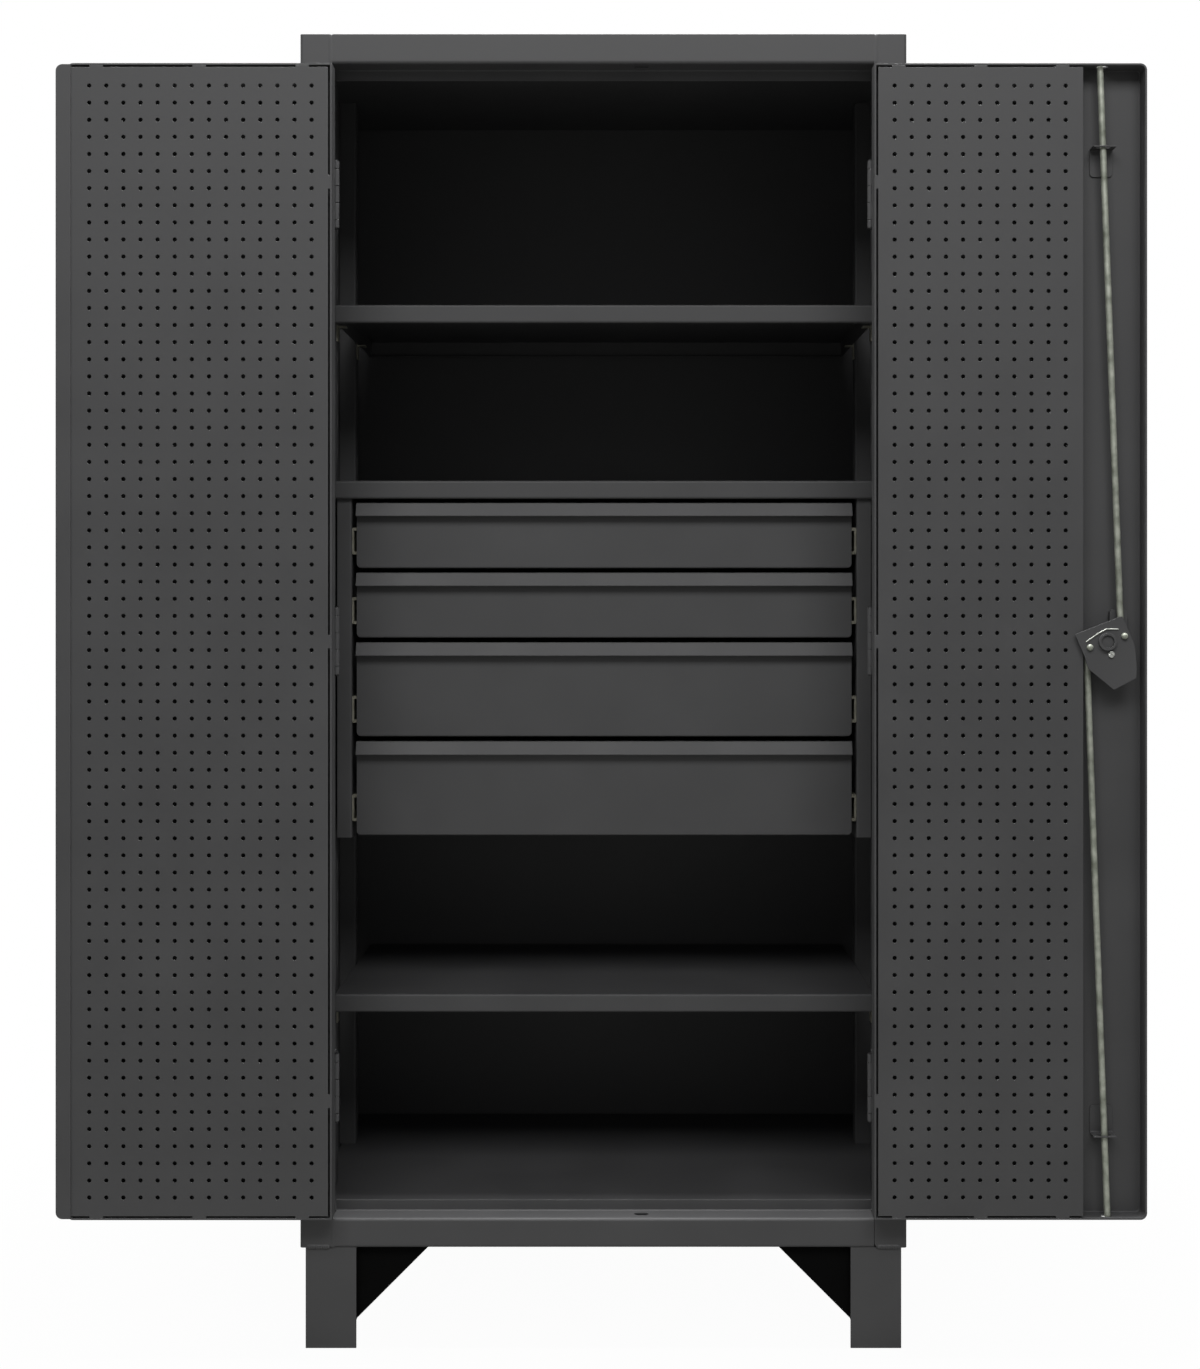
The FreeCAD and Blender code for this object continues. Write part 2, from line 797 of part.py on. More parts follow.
def cam_point(right, up, v):
    """A point on the latch: right and up from the hub, v inwards from the door's outer face."""
    return hub_point + Vector(right, -v, up)


def latch_cam():
    """Cam plate with its hub boss and the bores for the two rod pivots."""
    points = [cam_point(right * cam_reach, up * cam_reach, cam_v) for right, up in cam_corner_shares]
    plate = outline_face(points, [cam_corner_radius] * len(points)).extrude(Vector(0, -cam_sheet, 0))
    boss = Part.makeCylinder(hub_radius, hub_height, cam_point(0, 0, cam_v + cam_sheet), inward)
    cam = plate.fuse(boss)
    cutters = [Part.makeCylinder(shaft_radius, cam_sheet + hub_height + 2 * overrun,
                                 cam_point(0, 0, cam_v - overrun), inward)]
    for sign in (-1, 1):
        pivot = cam_point(sign * crank_right, sign * crank_up, cam_v - overrun)
        cutters.append(Part.makeCylinder(rod_radius + running_gap, cam_sheet + 2 * overrun, pivot, inward))
    cutters.append(Part.makeCylinder(screw_radius, cam_sheet + 2 * overrun,
                                     cam_point(screw_right, screw_up, cam_v - overrun), inward))
    return cam.cut(cutters).removeSplitter()


def cam_screw():
    """Set screw through the cam plate."""
    stem = Part.makeCylinder(screw_radius, cam_sheet, cam_point(screw_right, screw_up, cam_v), inward)
    head = Part.makeCylinder(screw_head_radius, screw_head_height,
                             cam_point(screw_right, screw_up, cam_v + cam_sheet), inward)
    return fused(stem, head)


def latch_shaft():
    """Round shaft from the handle through the door and the cam."""
    start = -(lever_standoff + lever_sheet)
    length = cam_v + cam_sheet + hub_height - shaft_recess - start
    return Part.makeCylinder(shaft_radius, length, cam_point(0, 0, start), inward)


def upper_rod():
    """Lock rod: straight up to the door's top, its lower end bent through the cam."""
    lean = math.radians(rod_lean)
    along = Vector(-math.sin(lean), 0, math.cos(lean))
    knee = cam_point(crank_right, crank_up, rod_depth)
    tip = cam_point(crank_right, crank_up, cam_v + cam_sheet + pin_tail)
    top_z = door_top - rod_recess
    end = knee + along * ((top_z - knee.z) / along.z)
    turn_in = knee + inward * rod_bend
    turn_out = knee + along * rod_bend
    middle = knee + (inward + along) * (rod_bend * (1 - math.sqrt(0.5)))
    path = Part.Wire([Part.LineSegment(tip, turn_in).toShape(), Part.Arc(turn_in, middle, turn_out).toShape(),
                      Part.LineSegment(turn_out, end).toShape()])
    ring = Part.Wire(Part.makeCircle(rod_radius, tip, inward))
    rod = path.makePipeShell([ring], True, False)
    top_edge = [e for e in rod.Edges if e.BoundBox.ZMin > end.z - rod_radius]
    rod = rod.makeFillet(rod_end_round, top_edge)
    tail_edge = [e for e in rod.Edges if abs(e.BoundBox.YMax - tip.y) < touching]
    return rod.makeFillet(pin_dome, tail_edge)


def lower_rod():
    """The upper rod turned half round the hub."""
    rod = upper_rod()
    rod.rotate(hub_point, outward, 180)
    return rod


def keeper_wire():
    """Bent wire on the cam's face, from one rod's tail over the hub towards the other."""
    v = cam_v + cam_sheet + wire_radius
    points = [cam_point(right * wire_reach, up * wire_reach, v) for right, up in wire_corner_shares]
    pieces = [Part.makeSphere(wire_radius, point) for point in points]
    for start, end in zip(points, points[1:]):
        along = end - start
        pieces.append(Part.makeCylinder(wire_radius, along.Length, start, along))
    return fused(*pieces)


def upper_guide():
    """Angle bracket on the door's skin: a slotted flange that the rod runs through, and a plate below it."""
    top = door_top - guide_from_end
    left = hub_point.x - guide_width / 2
    path = [
        Vector(left, door_face - body_sheet, top - guide_height),
        Vector(left, door_face - body_sheet, top),
        Vector(left, door_face - right_door_depth + guide_edge_gap, top),
    ]
    bracket = bent_sheet(path, guide_sheet, guide_sheet, Vector(guide_width, 0, 0))
    foot = [edge for edge in bracket.Edges
            if edge.BoundBox.XLength + edge.BoundBox.ZMax - (top - guide_height) < touching]
    bracket = bracket.makeFillet(guide_corner_radius, foot)
    return bracket.cut(rod_slot(0, slot_sway, top, guide_sheet + overrun))


def lower_guide():
    """The upper guide turned half round the hub."""
    bracket = upper_guide()
    bracket.rotate(hub_point, outward, 180)
    return bracket


def latch_plate():
    """Backing plate on the inside of the skin: the shaft's bearing, with an arm that rises beside the rod."""
    left = -plate_width / 2
    arm_right = plate_arm_left + plate_arm_width
    outline = [
        (left, -plate_drop), (arm_right, -plate_drop), (arm_right, plate_arm_rise),
        (plate_arm_left, plate_arm_rise), (plate_arm_left, plate_rise), (left, plate_rise),
    ]
    points = [cam_point(right, up, body_sheet) for right, up in outline]
    plate = outline_face(points, [0, 0, plate_corner, plate_corner, 0, 0]).extrude(inward * plate_sheet)
    bore = Part.makeCylinder(shaft_radius + running_gap, plate_sheet + 2 * overrun,
                             cam_point(0, 0, body_sheet - overrun), inward)
    return plate.cut(bore)


def handle_rose():
    """Plate under the handle, on the outside of the door."""
    corners = [cam_point(right * rose_width / 2, up * rose_height / 2, 0)
               for right, up in ((-1, -1), (1, -1), (1, 1), (-1, 1))]
    plate = outline_face(corners, [rose_corner] * len(corners)).extrude(outward * rose_sheet)
    bore = Part.makeCylinder(shaft_radius + running_gap, rose_sheet + 2 * overrun,
                             cam_point(0, 0, overrun), outward)
    return plate.cut(bore)


def door_handle():
    """Tapered lever on a round hub, standing off the rose; it hangs straight down when the latch is shut."""
    foot = rose_sheet + rose_gap
    hub = Part.makeCylinder(lever_hub_radius, lever_standoff + lever_sheet - foot,
                            cam_point(0, 0, -foot), outward)
    start_v = -lever_standoff
    corners = [
        cam_point(-lever_width / 2, 0, start_v), cam_point(-lever_end_width / 2, -lever_length, start_v),
        cam_point(lever_end_width / 2, -lever_length, start_v), cam_point(lever_width / 2, 0, start_v),
    ]
    end_round = lever_end_width / 2 - lever_edge
    bar = outline_face(corners, [0, end_round, end_round, 0]).extrude(outward * lever_sheet)
    lever = fused(hub, bar)
    lever.rotate(hub_point, outward, latch_turn)
    bore = Part.makeCylinder(shaft_radius, lever_standoff + lever_sheet + 2 * overrun,
                             cam_point(0, 0, overrun), outward)
    return lever.cut(bore)


# Nodes

def save_body():
    """The welded body, its legs, shelves and drawer bank."""
    save("right_side_panel", side_panel())
    save("left_side_panel", mirrored(side_panel()))
    save("top_panel", top_panel())
    save("back_panel", back_panel())
    save("header_rail", header_rail())
    save("base_rail", base_rail())
    save("floor_panel", floor_panel())
    gussets = []
    for end, end_name in ((-1, "front"), (1, "rear")):
        for side, side_name in ((-1, "left"), (1, "right")):
            save(f"{end_name}_{side_name}_leg", leg(side, end))
            gussets.append(gusset(side, end))
    save("leg_gussets", gussets)
    shelf_tops = (upper_shelf_top, middle_shelf_top, lower_shelf_top)
    clips = []
    for name, top in zip(("upper", "middle", "lower"), shelf_tops):
        save(f"{name}_shelf", shelf(top))
        clips += [clip(setback, top) for setback in (front_upright_setback, rear_upright_setback)]
    save("shelf_clips", both_hands(clips))
    save("shelf_uprights", both_hands([upright(front_upright_setback), upright(rear_upright_setback)]))
    save("drawer_bank_right_side", bank_side())
    save("drawer_bank_left_side", mirrored(bank_side()))
    save("drawer_bank_rear_tie", rear_tie())


def save_drawers():
    """Four drawers and their runners."""
    fixed = []
    for number, (top, height) in enumerate(drawer_levels(), 1):
        save(f"drawer_{number}_front", drawer_front(top, height))
        save(f"drawer_{number}_box", drawer_box(top, height))
        save(f"drawer_{number}_runners", both_hands([runner(top, height, 2)]))
        save(f"drawer_{number}_middle_runners", both_hands([runner(top, height, 1)]))
        fixed.append(runner(top, height, 0))
    save("drawer_cabinet_runners", both_hands(fixed))


def save_doors():
    """Doors, hinges and the latch."""
    pan, lip, board = left_door_pieces()
    save("left_door_pan", pan)
    save("left_door_lip", lip)
    save("left_pegboard", board)
    save("right_door_pan", right_door_pan())
    save("right_pegboard", right_pegboard())
    heights = [door_bottom + share * door_height for share in hinge_height_shares]
    save("frame_hinge_leaves", both_hands([frame_leaf(z) for z in heights]))
    save("hinge_pins", both_hands([hinge_pin(z) for z in heights]))
    leaves = [door_leaf(z) for z in heights]
    save("right_door_hinge_leaves", leaves)
    save("left_door_hinge_leaves", [mirrored(leaf) for leaf in leaves])
    save("upper_rod_guide", upper_guide())
    save("lower_rod_guide", lower_guide())
    save("latch_plate", latch_plate())
    save("handle_rose", handle_rose())
    save("door_handle", door_handle())
    save("latch_shaft", latch_shaft())
    save("latch_cam", latch_cam())
    save("cam_screw", cam_screw())
    save("rod_keeper_wire", keeper_wire())
    save("upper_lock_rod", upper_rod())
    save("lower_lock_rod", lower_rod())


os.makedirs("parts", exist_ok=True)
save_body()
save_drawers()
save_doors()
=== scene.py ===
"""Looks of a welded sheet-steel storage cabinet: powder coat, zinc, cast iron, weld beads and a studio.

Metres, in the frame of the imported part: X to the right, Y to the back, Z up, origin on the floor.
"""
import math

import bpy
import numpy as np
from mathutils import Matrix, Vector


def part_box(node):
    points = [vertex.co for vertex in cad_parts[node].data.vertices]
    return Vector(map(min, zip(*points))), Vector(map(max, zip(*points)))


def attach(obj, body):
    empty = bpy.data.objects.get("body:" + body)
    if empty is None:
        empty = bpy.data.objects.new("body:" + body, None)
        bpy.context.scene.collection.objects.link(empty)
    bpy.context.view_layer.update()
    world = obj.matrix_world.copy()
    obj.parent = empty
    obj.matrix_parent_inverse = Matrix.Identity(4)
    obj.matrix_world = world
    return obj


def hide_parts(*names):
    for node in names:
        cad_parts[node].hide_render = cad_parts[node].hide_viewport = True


MM = 0.001

# The photograph's frame and the camera that took it
IMAGE_WIDTH = 1200
IMAGE_HEIGHT = 1369
AXIS_PIXEL = (620.0, 597.0)
CAMERA_DISTANCE = 3.0
CAMERA_X = 0.025
CAMERA_HEIGHT = 1.133
METRES_PER_PIXEL = 1.507 * MM
SENSOR_WIDTH = 36.0

# Floor: half its side, where it starts and ends thinning out, and how white it is near the cabinet
FLOOR_HALF = 9.0
FLOOR_FADE = (0.4, 1.5)
FLOOR_WHITE = 0.97
FLOOR_PAINT = "#8c8c8a"
WHITE = "#ffffff"

# Light: each soft box's place, the point it faces, its size and its power; and how bright the room is
FRONT_BOX = ((0.0, -4.3, 4.8), (0.0, -0.3, 1.1), (5.0, 2.0), 190)
TOP_BOX = ((0.0, -0.42, 5.2), (0.0, -0.42, 0.0), (3.0, 0.25), 330)
ROOM = 0.22
# Sine of the angle towards the back at which the dim room starts and ends turning into the backdrop
BACKDROP_EDGE = (-0.1, 0.3)

# Paint film: rounding of its edges, the cosines between which they turn pale (partly wear, partly painted
# highlight), how pale they get, then its pebbles and its clouds; a noise keeps mostly within the cloud
# spread
EDGE_ROUND = 0.9 * MM
EDGE_SAMPLES = 4
EDGE_TURN = (0.97, 0.75)
EDGE_WEAR_AND_HIGHLIGHT = 0.5
PEBBLE = 3.2 * MM
PEBBLE_DEPTH = 0.3 * MM
PEBBLE_STRENGTH = 0.12
PEBBLE_DETAIL = 2.0
CLOUD = 130 * MM
CLOUD_DETAIL = 3.0
CLOUD_SPREAD = (0.3, 0.7)
FILM_SMOOTHER = 0.04
FILM_ROUGHER = 0.05
FILM_IOR = 1.5

# Zinc plate and cast iron
DRAWN_LINE = 2.0 * MM
DRAWN_DEPTH = 0.2 * MM
DRAWN_STRENGTH = 0.15
DRAWN_DETAIL = 3.0
DRAWN_SPREAD = 0.08
SCUFF = 18 * MM
SCUFF_DETAIL = 5.0
SAND = 2.0 * MM
SAND_DEPTH = 0.4 * MM
SAND_STRENGTH = 0.3
SAND_DETAIL = 4.0
ENAMEL_ROUGHNESS = 0.42

# Weld beads: width and height of each kind, then the length, swell and steps of a ripple, the share of the
# height that is sunk in the joint, and where the seams lie
BEAD = (7.0 * MM, 2.6 * MM)
LEG_BEAD = (11.0 * MM, 4.5 * MM)
GROUND_BEAD = (9.0 * MM, 0.9 * MM)
BEAD_RIPPLE = 3.6 * MM
BEAD_SWELL = 0.22
RIPPLE_STEPS = 6
END_STEPS = 12
BEAD_AROUND = 14
BEAD_ENDS = (0.004, 0.996)
TAPER_POWER = 12
BEAD_SINK = 0.4
GROUND_SINK = 0.75
HEADER_HEIGHT = 44.5 * MM
HEADER_SEAM = 2.6 * MM
SILL_HEIGHT = 44.5 * MM
LEG_BEAD_LENGTH = 38 * MM
STITCH_LENGTH = 42 * MM
STITCH_COUNT = 6
HINGE_LENGTH = 101.6 * MM
HINGE_COUNT = 3

# Set screw's head: its sizes, the slot's half width, the foot's height, the lands' edge as shares of height
# and of drawing in, the way the slot is turned, and the points round a land and round the foot
SCREW_RADIUS = 4.8 * MM
SCREW_HEIGHT = 3.2 * MM
SCREW_SLOT = 1.2 * MM
SCREW_FLOOR = 0.4 * MM
SCREW_EDGE = ((0.0, 0.0), (0.6, 0.0), (0.75, 0.06), (0.88, 0.18), (0.96, 0.34), (1.0, 0.55))
SCREW_TURN = math.radians(55)
LAND_POINTS = 24
FOOT_POINTS = 40


def linear(code):
    """Linear RGBA of an sRGB hex code: a straight line near black, a 2.4 power curve above it."""
    values = np.array([int(code[i:i + 2], 16) for i in (1, 3, 5)]) / 255
    curve = np.where(values <= 0.04045, values / 12.92, ((values + 0.055) / 1.055) ** 2.4)
    return (*curve.tolist(), 1.0)


def add_node(tree, kind, inputs=None, **settings):
    """Add a shader node: settings are its properties, inputs are values or other nodes' outputs."""
    made = tree.nodes.new(kind)
    for name, value in settings.items():
        setattr(made, name, value)
    for name, value in (inputs or {}).items():
        if isinstance(value, bpy.types.NodeSocket):
            tree.links.new(value, made.inputs[name])
        else:
            made.inputs[name].default_value = value
    return made


def new_material(name):
    """An empty node material and its tree."""
    material = bpy.data.materials.new(name)
    material.use_nodes = True
    material.node_tree.nodes.clear()
    return material, material.node_tree


def close_material(tree, shader_inputs):
    """Principled shader to the surface output."""
    shader = add_node(tree, "ShaderNodeBsdfPrincipled", shader_inputs)
    add_node(tree, "ShaderNodeOutputMaterial", {"Surface": shader.outputs["BSDF"]})


# Finishes. A colour mix's sockets 6 and 7 are its two colours, and its output 2 is the mixed one.

def powder_coat(name, light, dark, worn, roughness, specular):
    """Baked polyester powder: a satin, slightly pebbled film. The eye gets soft broad highlights, a faint
    cloudiness from uneven film, and paler edges, partly rubbed wear and partly a painted highlight. Its
    pebbles are really about 1 mm across and are drawn at 3.2 mm so that they show."""
    material, tree = new_material(name)
    place = add_node(tree, "ShaderNodeTexCoord").outputs["Object"]
    cloud = add_node(tree, "ShaderNodeTexNoise", {
        "Vector": place, "Scale": 1 / CLOUD, "Detail": CLOUD_DETAIL})
    pebble = add_node(tree, "ShaderNodeTexNoise", {
        "Vector": place, "Scale": 1 / PEBBLE, "Detail": PEBBLE_DETAIL})
    film = add_node(tree, "ShaderNodeMix", {
        "Factor": cloud.outputs["Fac"], 6: linear(dark), 7: linear(light)}, data_type="RGBA")
    edge = add_node(tree, "ShaderNodeBevel", {"Radius": EDGE_ROUND}, samples=EDGE_SAMPLES)
    facing = add_node(tree, "ShaderNodeNewGeometry")
    turn = add_node(tree, "ShaderNodeVectorMath",
                    {0: edge.outputs["Normal"], 1: facing.outputs["Normal"]}, operation="DOT_PRODUCT")
    # Edges turn towards the pale worn colour: partly rubbed wear, partly a painted highlight on every edge.
    edge_wear_and_highlight = add_node(tree, "ShaderNodeMapRange", {
        "Value": turn.outputs["Value"], "From Min": EDGE_TURN[0], "From Max": EDGE_TURN[1],
        "To Min": 0.0, "To Max": EDGE_WEAR_AND_HIGHLIGHT})
    colour = add_node(tree, "ShaderNodeMix", {
        "Factor": edge_wear_and_highlight.outputs["Result"], 6: film.outputs[2], 7: linear(worn)}, data_type="RGBA")
    gloss = add_node(tree, "ShaderNodeMapRange", {
        "Value": cloud.outputs["Fac"], "From Min": CLOUD_SPREAD[0], "From Max": CLOUD_SPREAD[1],
        "To Min": roughness - FILM_SMOOTHER, "To Max": roughness + FILM_ROUGHER})
    relief = add_node(tree, "ShaderNodeBump", {
        "Height": pebble.outputs["Fac"], "Strength": PEBBLE_STRENGTH, "Distance": PEBBLE_DEPTH,
        "Normal": edge.outputs["Normal"]})
    close_material(tree, {
        "Base Color": colour.outputs[2], "Roughness": gloss.outputs["Result"],
        "Normal": relief.outputs["Normal"], "IOR": FILM_IOR, "Specular IOR Level": specular})
    return material


def zinc_plate(name, light, dark, metallic, roughness, stretch):
    """Dull zinc plate over drawn or rolled steel: a pale grey-green metal, cloudy and scuffed from use, with
    fine lines along the way the steel was drawn. The lines are drawn 2 mm wide so that they show."""
    material, tree = new_material(name)
    place = add_node(tree, "ShaderNodeTexCoord").outputs["Object"]
    drawn = add_node(tree, "ShaderNodeMapping", {"Vector": place, "Scale": stretch})
    lines = add_node(tree, "ShaderNodeTexNoise", {
        "Vector": drawn.outputs["Vector"], "Scale": 1 / DRAWN_LINE, "Detail": DRAWN_DETAIL})
    scuff = add_node(tree, "ShaderNodeTexNoise", {
        "Vector": place, "Scale": 1 / SCUFF, "Detail": SCUFF_DETAIL})
    worn = add_node(tree, "ShaderNodeMapRange", {
        "Value": scuff.outputs["Fac"], "From Min": CLOUD_SPREAD[0], "From Max": CLOUD_SPREAD[1]})
    tone = add_node(tree, "ShaderNodeMix", {
        "Factor": worn.outputs["Result"], 6: linear(dark), 7: linear(light)}, data_type="RGBA")
    gloss = add_node(tree, "ShaderNodeMapRange", {
        "Value": lines.outputs["Fac"], "From Min": CLOUD_SPREAD[0], "From Max": CLOUD_SPREAD[1],
        "To Min": roughness - DRAWN_SPREAD, "To Max": roughness + DRAWN_SPREAD})
    relief = add_node(tree, "ShaderNodeBump", {
        "Height": lines.outputs["Fac"], "Strength": DRAWN_STRENGTH, "Distance": DRAWN_DEPTH})
    close_material(tree, {
        "Base Color": tone.outputs[2], "Metallic": metallic, "Roughness": gloss.outputs["Result"],
        "Normal": relief.outputs["Normal"]})
    return material


def cast_iron(name, light, dark):
    """Sand-cast iron under black enamel: a sandy grain with a half-gloss film over it. The grain is really
    about 0.5 mm across and is drawn at 2 mm so that it shows."""
    material, tree = new_material(name)
    place = add_node(tree, "ShaderNodeTexCoord").outputs["Object"]
    sand = add_node(tree, "ShaderNodeTexNoise", {"Vector": place, "Scale": 1 / SAND, "Detail": SAND_DETAIL})
    tone = add_node(tree, "ShaderNodeMix", {
        "Factor": sand.outputs["Fac"], 6: linear(dark), 7: linear(light)}, data_type="RGBA")
    relief = add_node(tree, "ShaderNodeBump", {
        "Height": sand.outputs["Fac"], "Strength": SAND_STRENGTH, "Distance": SAND_DEPTH})
    close_material(tree, {
        "Base Color": tone.outputs[2], "Roughness": ENAMEL_ROUGHNESS,
        "Normal": relief.outputs["Normal"], "IOR": FILM_IOR})
    return material


# New pieces

def closed_piece(name, shells, body, finish):
    """A piece made of closed shells. A shell is an array of rings of points: neighbouring rings are joined
    by squares that wrap round, and the first and last rings are closed by triangles to their middles. A
    shell whose signed volume comes out negative is turned so that its faces point outwards."""
    points = []
    faces = []
    for rings in shells:
        count, around = rings.shape[:2]
        base = sum(len(block) for block in points)
        middles = rings[[0, -1]].mean(axis=1)
        points.append(np.concatenate([rings.reshape(-1, 3), middles]))
        index = base + np.arange(count * around).reshape(count, around)
        onward = np.roll(index, -1, axis=1)
        squares = np.stack([index[:-1], onward[:-1], onward[1:], index[1:]], axis=-1).reshape(-1, 4)
        foot = np.stack([onward[0], index[0], np.full(around, base + count * around)], axis=-1)
        cap = np.stack([index[-1], onward[-1], np.full(around, base + count * around + 1)], axis=-1)
        corners = np.concatenate([squares[:, :3], squares[:, [0, 2, 3]], foot, cap]) - base
        a, b, c = (points[-1][corners[:, i]] for i in range(3))
        step = 1 if np.einsum("ij,ij->i", a, np.cross(b, c)).sum() > 0 else -1
        faces += [row[::step].tolist() for row in (*squares, *foot, *cap)]
    mesh = bpy.data.meshes.new(name)
    mesh.from_pydata(np.concatenate(points).tolist(), [], faces)
    mesh.shade_smooth()
    mesh.materials.append(finish)
    piece = bpy.data.objects.new(name, mesh)
    bpy.context.scene.collection.objects.link(piece)
    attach(piece, body)
    return piece


def bead_rings(start, end, out, shape, swell, sink):
    """A weld bead: an ellipse, width by height, carried along a straight seam and sunk into the joint by a
    share of its height. The ellipse swells once each ripple, and shrinks to nothing at both ends as the
    root of one minus a high power of the distance from the middle."""
    start, end, out = (np.array(value, dtype=float) for value in (start, end, out))
    run = end - start
    length = np.linalg.norm(run)
    out = out / np.linalg.norm(out)
    side = np.cross(run / length, out)
    width, height = shape
    count = END_STEPS + RIPPLE_STEPS * int(length / BEAD_RIPPLE)
    steps = np.linspace(*BEAD_ENDS, count)[:, None, None]
    angle = np.linspace(0, 2 * np.pi, BEAD_AROUND, endpoint=False)[None, :, None]
    taper = np.sqrt(1 - np.abs(2 * steps - 1) ** TAPER_POWER)
    rise = taper * (1 + swell * np.abs(np.sin(np.pi * steps * length / BEAD_RIPPLE)))
    across = side * np.cos(angle) * taper * width / 2
    up = out * (np.sin(angle) * rise - sink) * height
    return start + run * steps + across + up


def header_welds():
    """Welds ground nearly flush where the header meets the posts."""
    low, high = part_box("header_rail")
    shells = []
    for x in (low[0] - HEADER_SEAM, high[0] + HEADER_SEAM):
        shells.append(bead_rings((x, low[1], high[2] - HEADER_HEIGHT), (x, low[1], high[2]), (0, -1, 0),
                                 GROUND_BEAD, 0.0, GROUND_SINK))
    closed_piece("header_welds", shells, "cabinet", charcoal)


def sill_weld():
    """Weld ground nearly flush where the sill meets the left post."""
    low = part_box("base_rail")[0]
    shells = [bead_rings(low, (low[0], low[1], low[2] + SILL_HEIGHT), (0, -1, 0),
                         GROUND_BEAD, 0.0, GROUND_SINK)]
    closed_piece("sill_weld", shells, "cabinet", charcoal)


def leg_welds():
    """Short beads along the top of each leg's outer face, under the base."""
    shells = []
    for end, facing in (("front", -1), ("rear", 1)):
        for side, hand in (("left", -1), ("right", 1)):
            low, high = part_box(f"{end}_{side}_leg")
            y = low[1] if facing < 0 else high[1]
            x = low[0] if hand < 0 else high[0]
            shells.append(bead_rings((x, y, high[2]), (x - hand * LEG_BEAD_LENGTH, y, high[2]),
                                     (0, facing, -1), LEG_BEAD, BEAD_SWELL, BEAD_SINK))
    closed_piece("leg_welds", shells, "cabinet", charcoal)


def back_welds():
    """Stitch welds down the two upright seams of the back."""
    low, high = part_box("back_panel")
    shells = []
    for x in (low[0], high[0]):
        for z in np.linspace(low[2] + STITCH_LENGTH, high[2] - 2 * STITCH_LENGTH, STITCH_COUNT):
            shells.append(bead_rings((x, high[1], z), (x, high[1], z + STITCH_LENGTH), (0, 1, 0),
                                     BEAD, BEAD_SWELL, BEAD_SINK))
    closed_piece("back_welds", shells, "cabinet", charcoal)


def hinge_welds(side, hand):
    """Beads along the free edge of one door's hinge leaves."""
    low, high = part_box(f"{side}_door_hinge_leaves")
    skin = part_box(f"{side}_door_pan")[1][1]
    x = low[0] if hand < 0 else high[0]
    shells = []
    for z in np.linspace(low[2], high[2] - HINGE_LENGTH, HINGE_COUNT):
        shells.append(bead_rings((x, skin, z), (x, skin, z + HINGE_LENGTH), (hand, 1, 0),
                                 BEAD, BEAD_SWELL, BEAD_SINK))
    closed_piece(f"{side}_hinge_welds", shells, f"{side}_door", charcoal)


def slotted_screw():
    """Set screw's head: a round foot with two half-round lands that leave a slot between them. A land is an
    arc closed by its chord, drawn in towards its middle as it rises to a domed top."""
    low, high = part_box("cam_screw")
    centre = np.array([(low[0] + high[0]) / 2, low[1] + SCREW_HEIGHT, (low[2] + high[2]) / 2])
    rise, inset = (np.array(SCREW_EDGE)[:, i, None, None] for i in range(2))
    reach = math.acos(SCREW_SLOT / SCREW_RADIUS)
    shells = []
    for half in (0, math.pi):
        arc = np.linspace(-reach, reach, LAND_POINTS)[None, :, None] + SCREW_TURN + half
        flat = np.concatenate([np.cos(arc), 0 * arc, np.sin(arc)], axis=-1) * SCREW_RADIUS
        middle = flat.mean(axis=1, keepdims=True)
        shells.append(centre + middle + (flat - middle) * (1 - inset) + rise * (0, -SCREW_HEIGHT, 0))
    turn = np.linspace(0, 2 * np.pi, FOOT_POINTS, endpoint=False)[None, :, None]
    disc = np.concatenate([np.cos(turn), 0 * turn, np.sin(turn)], axis=-1) * SCREW_RADIUS
    levels = np.array([0.0, 1.0])[:, None, None] * (0, -SCREW_FLOOR, 0)
    shells.append(centre + disc + levels)
    screw = closed_piece("slotted_screw", shells, "latch", bright_zinc)
    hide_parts("cam_screw")


# Studio

def studio_floor():
    """A flat pale sheet under the cabinet. To the eye it thins out to the white backdrop with distance, and
    keeps the cabinet's shadow near it."""
    corners = np.array([(-1, -1, 0), (1, -1, 0), (1, 1, 0), (-1, 1, 0)]) * FLOOR_HALF
    mesh = bpy.data.meshes.new("studio_floor")
    mesh.from_pydata(corners.tolist(), [], [(0, 1, 2, 3)])
    floor = bpy.data.objects.new("studio_floor", mesh)
    bpy.context.scene.collection.objects.link(floor)
    material, tree = new_material("pale_floor_paint")
    place = add_node(tree, "ShaderNodeTexCoord").outputs["Object"]
    away = add_node(tree, "ShaderNodeVectorMath", {0: place}, operation="LENGTH")
    fade = add_node(tree, "ShaderNodeMapRange", {
        "Value": away.outputs["Value"], "From Min": FLOOR_FADE[0], "From Max": FLOOR_FADE[1],
        "To Min": FLOOR_WHITE, "To Max": 1.0}, interpolation_type="SMOOTHSTEP")
    eye = add_node(tree, "ShaderNodeLightPath").outputs["Is Camera Ray"]
    share = add_node(tree, "ShaderNodeMath", {0: fade.outputs["Result"], 1: eye}, operation="MULTIPLY")
    paint = add_node(tree, "ShaderNodeBsdfDiffuse", {"Color": linear(FLOOR_PAINT)})
    white = add_node(tree, "ShaderNodeEmission", {"Color": linear(WHITE), "Strength": 1.0})
    mixed = add_node(tree, "ShaderNodeMixShader", {
        0: share.outputs[0], 1: paint.outputs["BSDF"], 2: white.outputs["Emission"]})
    add_node(tree, "ShaderNodeOutputMaterial", {"Surface": mixed.outputs["Shader"]})
    mesh.materials.append(material)


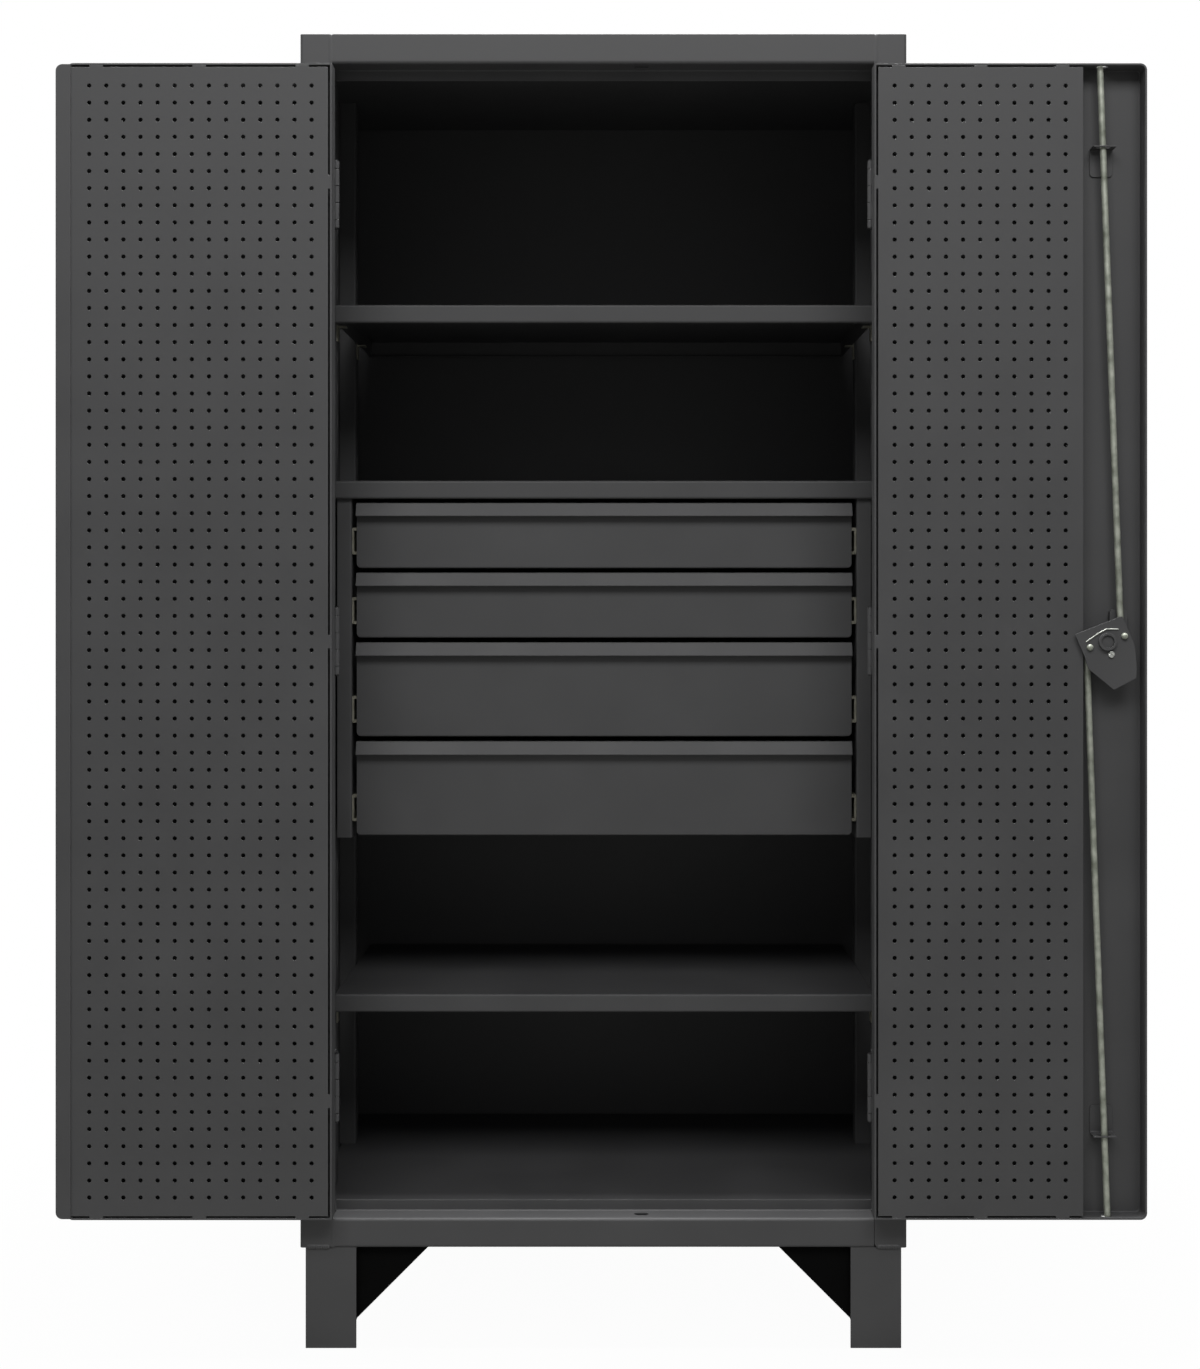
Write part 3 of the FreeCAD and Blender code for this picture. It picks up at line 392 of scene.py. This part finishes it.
def studio_world():
    """A white backdrop behind and above, a dim room in front of it. Eyes see white all round; reflections
    see the backdrop where it stands; the rest of the light is the dim room's."""
    world = bpy.data.worlds.new("studio_world")
    bpy.context.scene.world = world
    world.use_nodes = True
    tree = world.node_tree
    tree.nodes.clear()
    rays = add_node(tree, "ShaderNodeLightPath")
    place = add_node(tree, "ShaderNodeTexCoord").outputs["Generated"]
    way = add_node(tree, "ShaderNodeSeparateXYZ", {"Vector": place})
    behind = add_node(tree, "ShaderNodeMapRange", {
        "Value": way.outputs["Y"], "From Min": BACKDROP_EDGE[0], "From Max": BACKDROP_EDGE[1],
        "To Min": ROOM, "To Max": 1.0})
    mirrored = add_node(tree, "ShaderNodeMath", {
        0: rays.outputs["Is Glossy Ray"], 1: rays.outputs["Is Transmission Ray"]}, operation="MAXIMUM")
    reflected = add_node(tree, "ShaderNodeMix", {
        "Factor": mirrored.outputs[0], "A": ROOM, "B": behind.outputs["Result"]}, data_type="FLOAT")
    strength = add_node(tree, "ShaderNodeMix", {
        "Factor": rays.outputs["Is Camera Ray"], "A": reflected.outputs["Result"], "B": 1.0},
        data_type="FLOAT")
    sky = add_node(tree, "ShaderNodeBackground", {
        "Color": linear(WHITE), "Strength": strength.outputs["Result"]})
    add_node(tree, "ShaderNodeOutputWorld", {"Surface": sky.outputs["Background"]})


def soft_lamp(name, place, target, size, power):
    """A soft box that faces a point."""
    data = bpy.data.lights.new(name, "AREA")
    data.shape = "RECTANGLE"
    data.size, data.size_y = size
    data.energy = power
    lamp = bpy.data.objects.new(name, data)
    lamp.location = place
    aim = np.array(target) - np.array(place)
    flat = math.hypot(aim[0], aim[1])
    lamp.rotation_euler = (math.pi / 2 + math.atan2(aim[2], flat), 0, math.atan2(-aim[0], aim[1]))
    bpy.context.scene.collection.objects.link(lamp)


def studio_camera():
    """Level camera in front of the cabinet, its axis at the photograph's vanishing point."""
    data = bpy.data.cameras.new("studio_camera")
    data.sensor_fit = "HORIZONTAL"
    data.sensor_width = SENSOR_WIDTH
    data.lens = SENSOR_WIDTH * CAMERA_DISTANCE / (METRES_PER_PIXEL * IMAGE_WIDTH)
    data.shift_x = (IMAGE_WIDTH / 2 - AXIS_PIXEL[0]) / IMAGE_WIDTH
    data.shift_y = (AXIS_PIXEL[1] - IMAGE_HEIGHT / 2) / IMAGE_WIDTH
    camera = bpy.data.objects.new("studio_camera", data)
    front_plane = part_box("header_rail")[0][1]
    camera.location = (CAMERA_X, front_plane - CAMERA_DISTANCE, CAMERA_HEIGHT)
    camera.rotation_euler = (math.pi / 2, 0, 0)
    bpy.context.scene.collection.objects.link(camera)
    bpy.context.scene.camera = camera


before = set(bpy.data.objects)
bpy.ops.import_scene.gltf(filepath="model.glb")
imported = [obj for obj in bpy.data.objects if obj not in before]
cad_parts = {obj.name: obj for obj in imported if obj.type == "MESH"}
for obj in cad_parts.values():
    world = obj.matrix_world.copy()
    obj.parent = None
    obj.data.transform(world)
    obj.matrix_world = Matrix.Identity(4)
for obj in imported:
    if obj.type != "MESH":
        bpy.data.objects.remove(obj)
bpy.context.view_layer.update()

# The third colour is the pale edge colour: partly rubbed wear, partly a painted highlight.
charcoal = powder_coat("charcoal_powder_coat", "#4d4d4e", "#404041", "#6a6a6a", 0.58, 0.5)
# Near-black film with low specular is painted shade: it stands in for the deep shadow on the gussets under
# the base rail.
black = powder_coat("black_powder_coat", "#030303", "#020202", "#060606", 0.8, 0.1)
zinc_rod = zinc_plate("drawn_zinc_rod", "#c6cabd", "#83887b", 0.35, 0.42, (1.0, 1.0, 0.03))
zinc_strip = zinc_plate("rolled_zinc_strip", "#b9b7a8", "#989688", 0.7, 0.4, (1.0, 0.03, 1.0))
zinc_wire = zinc_plate("zinc_wire", "#b4b6b0", "#8c8f88", 0.4, 0.36, (1.0, 1.0, 1.0))
bright_zinc = zinc_plate("bright_zinc", "#f6f7f4", "#d6d9d2", 0.6, 0.2, (1.0, 1.0, 1.0))
iron = cast_iron("black_cast_iron", "#1c1c1d", "#111112")

finishes = {
    # The gussets get the near-black painted shade.
    "leg_gussets": black,
    "upper_lock_rod": zinc_rod,
    "lower_lock_rod": zinc_rod,
    "rod_keeper_wire": zinc_wire,
    "cam_screw": bright_zinc,
    "shelf_clips": zinc_strip,
    "hinge_pins": iron,
    "door_handle": iron,
    "handle_rose": iron,
}
for name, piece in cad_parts.items():
    finish = finishes.get(name, zinc_strip if "runners" in name else charcoal)
    piece.data.materials.clear()
    piece.data.materials.append(finish)

header_welds()
sill_weld()
leg_welds()
back_welds()
hinge_welds("left", -1)
hinge_welds("right", 1)
slotted_screw()

studio_floor()
studio_world()
soft_lamp("front_box", *FRONT_BOX)
soft_lamp("top_box", *TOP_BOX)
studio_camera()
bpy.context.scene.view_settings.view_transform = "Standard"
